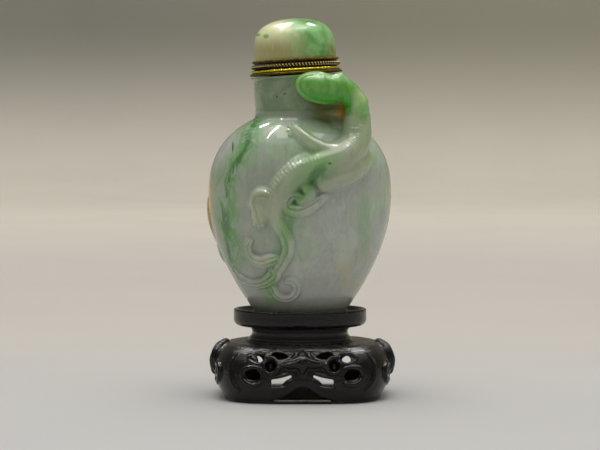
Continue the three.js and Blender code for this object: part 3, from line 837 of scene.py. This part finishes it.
def shader_maths(operation, reflected=False):
    """A Math node between a number and others, in that order or with the number last"""

    def work(number, *others):
        values = [*others, number] if reflected else [number, *others]
        return number.paint.number("ShaderNodeMath", {"operation": operation}, values)

    return work


class Number:
    """A socket that carries a number, so that shader maths reads as an expression"""

    __add__ = __radd__ = shader_maths("ADD")
    __mul__ = __rmul__ = shader_maths("MULTIPLY")
    __sub__ = shader_maths("SUBTRACT")
    __rsub__ = shader_maths("SUBTRACT", reflected=True)
    __truediv__ = shader_maths("DIVIDE")
    __pow__ = shader_maths("POWER")
    __abs__ = shader_maths("ABSOLUTE")
    most = shader_maths("MAXIMUM")
    sine = shader_maths("SINE")
    angle = shader_maths("ARCTAN2")  # the angle whose slope is this number over another

    def __init__(self, paint, socket):
        self.paint = paint
        self.socket = socket

    def ramp(self, low, high):
        """0 at low and 1 at high, eased; low may be above high"""
        settings = {"interpolation_type": "SMOOTHSTEP"}
        return self.paint.number("ShaderNodeMapRange", settings, [self, low, high])


def tone(red, green, blue):
    """A colour given as it looks, 0 to 255, in the shader's own scale"""

    def straight(value):
        value /= 255
        return value / 12.92 if value <= 0.04045 else ((value + 0.055) / 1.055) ** 2.4

    return (straight(red), straight(green), straight(blue), 1)


class Paint:
    """A material whose nodes are added by type, settings and socket values"""

    def __init__(self, name):
        self.material = bpy.data.materials.new(name)
        self.material.use_nodes = True
        self.tree = self.material.node_tree
        self.tree.nodes.clear()

    def add(self, kind, settings=None, values=None, out=0):
        node = self.tree.nodes.new(kind)
        for key, value in (settings or {}).items():
            if callable(value):
                value(node)
            else:
                setattr(node, key, value)
        pairs = values.items() if isinstance(values, dict) else enumerate(values or [])
        for key, value in pairs:
            if isinstance(value, Number):
                value = value.socket
            if isinstance(value, bpy.types.NodeSocket):
                self.tree.links.new(value, node.inputs[key])
            elif value is not None:
                node.inputs[key].default_value = value
        return node.outputs[out]

    def number(self, *rest, **more):
        return Number(self, self.add(*rest, **more))

    def places(self):
        """Place on the object in millimetres"""
        spot = self.add("ShaderNodeTexCoord", out="Object")
        self.spot = self.add("ShaderNodeVectorMath", {"operation": "SCALE"}, {0: spot, "Scale": 1 / MM})
        parts = self.tree.nodes.new("ShaderNodeSeparateXYZ")
        self.tree.links.new(self.spot, parts.inputs[0])
        return [Number(self, parts.outputs[i]) for i in range(3)]

    def noise(self, scale, detail=3, rough=0.55, distort=0, stretch=None):
        """Noise over the object, drawn out along an axis whose stretch is below 1"""
        spot = self.spot
        if stretch:
            spot = self.add("ShaderNodeVectorMath", {"operation": "MULTIPLY"}, [spot, stretch])
        values = {"Vector": spot, "Scale": scale, "Detail": detail, "Roughness": rough, "Distortion": distort}
        return self.number("ShaderNodeTexNoise", values=values)

    def mix(self, share, a, b):
        return self.add("ShaderNodeMix", {"data_type": "RGBA"}, {0: share, 6: a, 7: b}, out=2)

    def lay(self, share, *shade):
        """Lays a tone over the colour so far"""
        self.colour = self.mix(share, self.colour, tone(*shade))

    def follow(self, value, rows):
        """A number that follows another through rows of [value, number]"""
        low, high = -20, 70  # the least and greatest that either may be

        def shape(node):
            points = node.mapping.curves[0].points
            while len(points) < len(rows):
                points.new(0.5, 0.5)
            for point, (across, up) in zip(points, rows):
                point.location = ((across - low) / (high - low), (up - low) / (high - low))
            node.mapping.update()

        share = (value - low) / (high - low)
        return self.number("ShaderNodeFloatCurve", {"points": shape}, {"Value": share}) * (high - low) + low

    def vein(self, x, z, rows, width):
        """How far a place is inside a vein that runs through rows of [z, x]"""
        offset = abs(x - self.follow(z, rows))
        ends = z.ramp(rows[0][0] - 1.5, rows[0][0] + 2) * z.ramp(rows[-1][0] + 1.5, rows[-1][0] - 1)
        return offset.ramp(width, width * 0.15) * ends

    def layer(self, name):
        return self.number("ShaderNodeAttribute", {"attribute_name": name}, out="Fac")

    def bump(self, height, strength, distance):
        values = {"Height": height, "Strength": strength, "Distance": distance}
        return self.add("ShaderNodeBump", values=values)

    def finish(self, values):
        surface = self.add("ShaderNodeBsdfPrincipled", values={"Base Color": self.colour, **values})
        output = self.tree.nodes.new("ShaderNodeOutputMaterial")
        self.tree.links.new(surface, output.inputs[0])
        return self.material


def patch(x, z, centre, radii, edge=0.8):
    """1 inside an oval seen from the front, fading out at its edge"""
    across, up = (x - centre[0]) / radii[0], (z - centre[1]) / radii[1]
    return (across * across + up * up).ramp(1 + edge, 1 - edge)


def stone(paint, height, rough):
    """Polished jadeite: cloudy within, with a faintly uneven skin"""
    return paint.finish({
        "Roughness": rough,
        "IOR": 1.62,
        "Subsurface Weight": 0.85,
        "Subsurface Radius": (1, 1.15, 0.8),
        "Subsurface Scale": 0.003,
        "Normal": paint.bump(height, 0.06, 0.0004),
    })


def jade():
    """Grey-green and lavender jadeite with green veins, a green head and ochre skin on its left"""
    paint = Paint("bottle_jade")
    lay = paint.lay
    x, y, z = paint.places()
    cloud = paint.noise(0.075, 3, distort=0.6)
    patches = paint.noise(0.21, 4, 0.6, 0.8, stretch=(1, 1, 0.7))
    fibre = paint.noise(0.95, 4, 0.65, 0.4, stretch=(1, 1, 0.14))
    mottle = paint.noise(0.55, 5, 0.65, 1.2, stretch=(1, 1, 0.55))
    grit = paint.noise(1.7, 3, 0.7)
    ragged = (patches - 0.5) * 9 + (fibre - 0.5) * 4
    crease, raised = paint.layer("crease"), paint.layer("raised")
    front_side = y.ramp(1, -3)

    # cloudy grey-green stone, more lavender below and olive where it stands out, with painted shade on the
    # lower left and toward the foot, and a neck that is greener and darker, partly as painted shade
    lilac = (cloud + (50 - z) * 0.006).ramp(0.42, 0.62)
    paint.colour = paint.mix(lilac, tone(176, 199, 170), tone(185, 191, 186))
    lay(patches.ramp(0.46, 0.68) * 0.5, 206, 214, 206)
    lay(fibre.ramp(0.5, 0.72) * 0.2, 212, 220, 204)
    lay(fibre.ramp(0.46, 0.3) * 0.2, 140, 166, 132)
    lay(mottle.ramp(0.52, 0.7) * 0.32, 214, 222, 212)
    lay(mottle.ramp(0.48, 0.3) * 0.4, 146, 170, 140)
    # painted shade: the lower left of the body darkened where less light falls
    lay(z.ramp(52, 42) * x.ramp(2, -8) * 0.3, 150, 164, 142)
    lay(raised.ramp(0.4, 1.8) * 0.45, 158, 168, 126)
    pale = patch(x, z, (-8, 34), (5, 9), 0.6) * raised.ramp(0.3, 1) * front_side
    lay(pale * 0.28, 208, 210, 184)
    lay(patch(x, z, (-8, 47), (4, 5)) * front_side * 0.25, 136, 154, 130)
    # painted shade: the body darkened and greyed toward its foot, above the dish
    lay(z.ramp(30, 19) * 0.4, 160, 159, 157)
    warm = patch(x, z, (12, 27), (5, 6)) * mottle.ramp(0.45, 0.6) * front_side
    lay(warm * 0.5, 196, 190, 140)
    # the neck greener and darker: partly its own green, partly painted shade under the collar and the head
    neck = z.ramp(58.5, 62) * (0.6 + 0.3 * patches.ramp(0.4, 0.6)) * raised.ramp(1.2, 0.4)
    lay(neck, 106, 132, 92)

    # green veins on the left and along the tail, and a dark green patch low on the trunk, partly painted
    # shade in the gap between the trunk and the haunch
    left_rows = [(28, -14.5), (34, -15.3), (43, -15.6), (47, -15.1), (50, -13.6), (53, -11.5), (56, -10.5)]
    left_rows.append((60, -8.8))
    tail_rows = [(20, -6.1), (26, -6.3), (31, -4.2), (36, -2.9), (40, -2.1), (44, 0.6), (48, 2.6)]
    left_vein = paint.vein(x + ragged * 0.6 + (z - 50) * 0.05, z, left_rows, 4.2) * patches.ramp(0.28, 0.52)
    left_core = paint.vein(x + ragged * 0.3 + (fibre - 0.5) * 2, z, left_rows, 0.9) * patches.ramp(0.4, 0.52)
    tail_vein = paint.vein(x + ragged * 0.5, z, tail_rows, 2.6)
    streaks = patch(x, z, (13.5, 37), (1.4, 8)) * 0.3
    green = (left_vein * 0.85).most(tail_vein * 0.65).most(streaks)
    lay(green * front_side * mottle.ramp(0.32, 0.55), 112, 172, 94)
    loin_x, loin_z = x - 3.5, z - 48.2
    over, down = loin_x * 0.75 - loin_z * 0.66, loin_x * 0.66 + loin_z * 0.75
    loin_green_and_shade = patch(over + ragged * 0.2, down + ragged * 0.3, (0, 0), (1.1, 2.8)) * y.ramp(-8, -11)
    around_loin = patch(over + ragged * 0.3, down, (-0.5, -1.5), (3.2, 5.5)) * front_side
    lay(around_loin * 0.5, 118, 176, 104)
    # the dark green core of the left vein, and the patch between trunk and haunch: dark green stone deepened
    # as painted shade of that gap
    lay(left_core.most(loin_green_and_shade) * front_side * 0.7, 54, 120, 50)
    lay(patch(x, z, (3, 51.5), (6, 2.4), 0.45) * front_side * 0.3, 134, 186, 118)

    # a green head, lightened on top as a painted glow, with a paler lip, a pale lock behind it and a green
    # nape
    near_head = ((x - 6) / 8.6) ** 2 + ((y + 12.5) / 5.6) ** 2 + ((z - 65.9 + 0.28 * (x - 6)) / 4.9) ** 2
    head = (near_head + (patches - 0.5) * 0.7).ramp(1.25, 0.7)
    lay(head, 80, 166, 40)
    lay(head * fibre.ramp(0.46, 0.64) * 0.5, 142, 196, 104)
    lay(head * mottle.ramp(0.44, 0.6) * 0.3, 160, 190, 130)
    lay(head * z.ramp(65.8, 63.6) * 0.6, 58, 164, 22)
    # painted glow: the top of the head lightened where the light falls on it
    lay(head * z.ramp(66.3, 68.6) * 0.4, 190, 214, 172)
    c, s = cos_sin(HEAD_TILT)
    head_x, head_z = x - HEAD[0], z - HEAD[2]
    along, up = head_x * c - head_z * s, head_x * s + head_z * c
    rim = ((along / HEAD_RADII[0]) ** 2 + (up / HEAD_RADII[2]) ** 2).ramp(0.66, 0.86)
    lip = rim * (along + up * 0.8).ramp(0.8, -1.2) * y.ramp(-8.5, -10)
    lay(lip * head * 0.3, 160, 206, 132)
    lock = patch(x + ragged * 0.3, z + ragged * 0.2, (12.3, 63.2), (1.7, 2.6)) * y.ramp(-9, -11)
    lay(lock * 0.6, 206, 220, 174)
    nape = patch(x + ragged * 0.3, z - ragged * 0.2, (13.1, 61), (1.5, 1.8)) * y.ramp(-9, -11)
    lay(nape * 0.6, 116, 190, 92)

    # olive stone in the hollow behind the dragon's neck, darkened as painted shade of the hollow, with a
    # rusty spot
    # olive stone colour and painted shade of the undercut hollow, together
    pocket_olive_and_shade = ((x - 7) / 5) ** 2 + ((y + 8) / 3.4) ** 2 + ((z - 62) / 4.2) ** 2
    pocket_olive_and_shade = (pocket_olive_and_shade + (patches - 0.5) * 0.5).ramp(1.5, 0.4)
    lay(pocket_olive_and_shade * 0.8, 112, 116, 50)
    rust = patch(x, z, (8.9, 61), (1.3, 1.6)) * y.ramp(-11.5, -10) * y.ramp(-6, -7.5)
    lay(rust * grit.ramp(0.3, 0.55) * 0.8, 206, 150, 60)

    # ochre skin round the left side
    skin = (ragged * 0.1 - x).ramp(18.1, 19.3) * z.ramp(26, 31) * z.ramp(50, 44)
    lay(skin * 0.85, 196, 172, 80)
    lay(skin * grit.ramp(0.5, 0.7) * 0.6, 120, 94, 50)

    # small dark specks and a short crack, and dust and painted shade in the creases
    specks = patch(x, z, (-3.2, 64.8), (0.3, 0.24), 0.45)
    others = [((-4.9, 64.2), (0.2, 0.3)), ((-14.2, 53.6), (0.16, 1.1)), ((6.2, 50.3), (0.35, 0.2))]
    for centre, radii in others:
        specks = specks.most(patch(x, z, centre, radii, 0.45))
    lay(specks * front_side * 0.8, 52, 46, 34)
    # painted shade, with some dust: the creases darkened by how closed in they are
    lay(crease.ramp(0.35, 1) * 0.3, 116, 130, 96)
    return stone(paint, patches * 0.6 + grit * 0.1 + fibre * 0.15, 0.04 + grit.ramp(0.55, 0.8) * 0.08)


def cap_stone():
    """Cream jadeite that turns green to the right"""
    paint = Paint("cap_jade")
    lay = paint.lay
    x, y, z = paint.places()
    patches = paint.noise(0.24, 4, 0.6, 0.8)
    fibre = paint.noise(0.8, 4, 0.65, 0.5, stretch=(1, 1, 0.16))
    grit = paint.noise(1.9, 3, 0.7)
    green = (x + (z - 76) * 0.5 + (patches - 0.5) * 7 + (fibre - 0.5) * 4 + 0.4).ramp(-3.4, 3)
    cream = paint.mix(z.ramp(79, 73.5), tone(240, 243, 202), tone(176, 174, 122))
    cream = paint.mix(fibre.ramp(0.5, 0.7) * 0.25, cream, tone(236, 240, 218))
    leaf = paint.mix(patches.ramp(0.35, 0.65), tone(106, 170, 88), tone(156, 210, 143))
    leaf = paint.mix(fibre.ramp(0.52, 0.7) * 0.18, leaf, tone(192, 227, 166))
    paint.colour = paint.mix(green, cream, leaf)
    spots = patch(x, z, (-8.9, 77.4), (0.5, 0.35), 0.45)
    spots = spots.most(patch(x, z, (-7.2, 77), (0.6, 0.45), 0.45))
    lay(spots * y.ramp(0, -1) * 0.7, 104, 172, 70)
    lay(x.ramp(4.6, 7) * z.ramp(77, 74) * 0.5, 158, 130, 76)
    return stone(paint, patches * 0.6 + grit * 0.12, 0.05 + grit.ramp(0.55, 0.8) * 0.08)


def gilt():
    """Worn gilding, with painted shade in the grooves, on the rope and on the top ring, and painted glints
    along the twist of the rope
    """
    paint = Paint("gilt_metal")
    lay = paint.lay
    x, y, z = paint.places()
    dx, dz = x - NECK_FOOT[0], z - NECK_FOOT[2]
    across = dx * LEAN_COS + dz * LEAN_SIN
    height = dz * LEAN_COS - dx * LEAN_SIN - COLLAR_UNDER
    radius = (across * across + y * y) ** 0.5
    wear = paint.noise(1.1, 4, 0.7)
    pits = paint.noise(4.5, 3, 0.7)
    polished = height.ramp(0.5, 0.6) * height.ramp(1.24, 1.12)
    rope = height.ramp(1.36, 1.46) * height.ramp(2.46, 2.36)
    twist = (y.angle(across) * (2 * ROPE_TWISTS) + (height - ROPE_HEIGHT) * 5).sine()
    rope_glints = rope * twist.ramp(0.2, 0.65) * height.ramp(1.46, 1.7) * height.ramp(2.4, 2.16)
    paint.colour = paint.mix(wear.ramp(0.35, 0.65), tone(84, 72, 14), tone(146, 130, 26))
    lay(height.ramp(0.56, 0.48) * 0.5, 62, 46, 14)
    lay(polished, 210, 188, 48)
    # painted shade: the rope band darkened between its wires
    lay(rope, 26, 18, 26)
    # painted glints on the wires, along their twist
    lay(rope_glints, 230, 212, 118)
    # painted shade in the grooves behind the rope and the top ring, and between the flange and the polished
    # ring
    sunk = radius.ramp(9.12, 8.98) * height.ramp(1.1, 1.2)
    dark = sunk.most(height.ramp(0.46, 0.52) * height.ramp(0.62, 0.56))
    lay(dark, 34, 22, 30)
    lay(pits.ramp(0.5, 0.62) * (1 - polished) * (1 - rope) * 0.8, 58, 44, 30)
    return paint.finish({
        "Metallic": 1 - dark.most(rope) * 0.7,
        "Roughness": 0.42 - polished * 0.22 + pits.ramp(0.45, 0.7) * 0.2,
        "Normal": paint.bump(pits + wear * 0.5, 0.5, 0.00012),
    })


def wood():
    """Near-black polished hardwood, worn brown on the plate and bare inside, with painted light on the waist
    under the dish
    """
    paint = Paint("dark_wood")
    lay = paint.lay
    x, y, z = paint.places()
    grain = paint.noise(1.6, 5, 0.6, 0.3, stretch=(0.12, 1, 1))
    dust = paint.noise(0.5, 4, 0.7)
    crease = paint.layer("crease")
    paint.colour = paint.mix(grain.ramp(0.35, 0.65), tone(11, 10, 14), tone(21, 18, 20))
    plate = z.ramp(PLATE_TOP - 0.7, PLATE_TOP - 0.25) * z.ramp(PLATE_TOP + 0.5, PLATE_TOP + 0.1)
    lay(plate * dust.ramp(0.3, 0.6) * 0.7, 62, 54, 46)
    # painted light: the waist lightened where it lies in the dish's shadow
    waist_painted_light = z.ramp(PLATE_TOP, PLATE_TOP + 0.6) * z.ramp(DISH_UNDER + 0.1, DISH_UNDER - 0.5)
    lay(waist_painted_light, 60, 57, 62)
    room = MOUTH + 0.4 + (ROOM - MOUTH) * z.ramp(0.6, 4)
    reach = (abs(x - SHIFT) ** 3 + abs(y / 0.91) ** 3) ** (1 / 3)
    inner = (reach / room).ramp(1.03, 1) * z.ramp(CEILING + 0.3, CEILING)
    lay(inner * 0.9, 104, 90, 68)
    lay(crease.ramp(0.4, 0.9) * dust.ramp(0.4, 0.7) * 0.35, 58, 48, 38)
    return paint.finish({
        "Roughness": 0.08 + dust.ramp(0.4, 0.75) * 0.14 + plate * 0.15 + inner * 0.45,
        "IOR": 1.42,
        "Normal": paint.bump(grain + dust * 0.7, 0.35, 0.0003),
    })


# ---- stage, light and camera


def stage():
    """A pale floor that sweeps up into a plain backdrop all the way round, with painted light and shade:
    lighter far off, darker up the wall and brighter to its right
    """
    rows = [(0, 0), (0.3, 0), (0.8, 0), (1.15, 0), (1.3, 0.012), (1.42, 0.06), (1.48, 0.14), (1.52, 0.3)]
    rows += [(1.56, 0.7), (1.6, 1.6)]
    count = 96
    spots = [(0, 0, 0)]
    for radius, height in rows[1:]:
        for i in range(count):
            turn = 2 * math.pi * i / count
            spots.append((radius * math.cos(turn), radius * math.sin(turn), height))
    faces = [(0, 1 + i, 1 + (i + 1) % count) for i in range(count)]
    for near in range(1, 1 + (len(rows) - 2) * count, count):
        faces += [face[::-1] for face in band(near, near + count, count)]
    floor = mesh_piece("floor_sweep", spots, faces)
    floor.data.shade_smooth()
    paint = Paint("floor_paper")
    lay = paint.lay
    x, y, z = paint.places()
    blotch = paint.noise(0.012)
    far = (x * x + y * y) ** 0.5
    floor_tone = paint.mix(y.ramp(-20, 150), tone(204, 203, 204), tone(208, 203, 198))
    # painted light: the floor lightened far off, where less lamp light reaches
    floor_tone = paint.mix(far.ramp(300, 1000), floor_tone, tone(244, 236, 224))
    # painted shade: the wall darker than the floor, brightening to the right
    wall_tone = paint.mix(x.ramp(-200, 200), tone(142, 141, 132), tone(158, 155, 139))
    paint.colour = paint.mix(z.ramp(-10, 145), floor_tone, wall_tone)
    lay(blotch.ramp(0.3, 0.7) * 0.06, 170, 170, 172)
    floor.data.materials.append(paint.finish({"Roughness": 0.9, "Specular IOR Level": 0.1}))


def lamp(name, place, size, radiance, colour, facing):
    """A rectangular lamp that glows evenly"""
    data = bpy.data.lights.new(name, "AREA")
    data.shape = "RECTANGLE"
    data.size, data.size_y = size
    data.energy = radiance * math.pi * size[0] * size[1]
    data.color = colour
    light = added(name, data)
    light.location = place
    light.rotation_mode = "QUATERNION"
    light.rotation_quaternion = facing
    return light


def tube(name, start, end, width, radiance):
    """A narrow white lamp that hangs level between two places and faces the floor"""
    start, end = Vector((*start, TUBE_HEIGHT)), Vector((*end, TUBE_HEIGHT))
    run = end - start
    facing = Quaternion((0, 0, 1), math.atan2(run.y, run.x))
    light = lamp(name, (start + end) / 2, (run.length, width), radiance, (1, 1, 1), facing)
    light.visible_diffuse = False  # it only glints


TUBE_HEIGHT = 0.76
OVERHEAD = Vector((0, -0.1, 1.4))
LIT = Vector((0, 0, 0.045))  # the middle of the object
EYE, EYE_DOWN, LENS = (0, -0.480, 0.0595), 2.718, 133.98


def light_and_camera():
    """Even light from all round and overhead, glints from four tubes, and the camera"""
    scene = bpy.context.scene
    scene.world = bpy.data.worlds.new("studio")
    scene.world.use_nodes = True
    glow = scene.world.node_tree.nodes["Background"].inputs
    glow["Color"].default_value = (0.96, 0.98, 1, 1)
    glow["Strength"].default_value = 0.9
    facing = (LIT - OVERHEAD).to_track_quat("-Z", "Y")
    lamp("lamp_overhead", OVERHEAD, (1.2, 1.2), 2.2, (1, 0.94, 0.84), facing)
    tube("tube_back_left", (-0.38, 0.44), (-0.06, 0.41), 0.026, 120)
    tube("tube_back_right", (0.146, 0.426), (0.395, 0.397), 0.026, 110)
    tube("tube_middle", (0.017, -0.096), (0.253, -0.044), 0.02, 50)
    tube("tube_left", (-0.10, 0.29), (-0.46, -0.205), 0.012, 110)
    camera = bpy.data.cameras.new("camera")
    camera.lens, camera.sensor_width = LENS, 36
    camera.clip_start, camera.clip_end = 0.01, 20
    eye = added("camera", camera)
    eye.location = EYE
    eye.rotation_euler = (math.radians(90 - EYE_DOWN), 0, 0)
    scene.camera = eye
    scene.view_settings.view_transform = "Standard"


# ---- assembly


def dressed(piece, node, material):
    """Gives a piece its finish and its place in the frame"""
    piece.data.materials.append(material)
    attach(piece, "root")
    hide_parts(node)


def sculpted(name, form, node):
    """A carved piece within the bounds of the node that it replaces"""
    low, high = (np.array(corner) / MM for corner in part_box(node))
    return carved(name, form, low, high)


light_and_camera()
stage()
bottle, spots = sculpted("bottle_carved", bottle_form, "bottle")
plain = np.minimum(body_distance(*spots.T), leaning(*spots.T)[0] - NECK_SIDE)
write(bottle.data, "raised", np.clip(plain, 0, 5))
dressed(bottle, "bottle", jade())
dressed(sculpted("stand_carved", stand_form, "stand")[0], "stand", wood())
dressed(gilt_collar(), "stopper_collar", gilt())
dressed(jade_cap(), "stopper_cap", cap_stone())
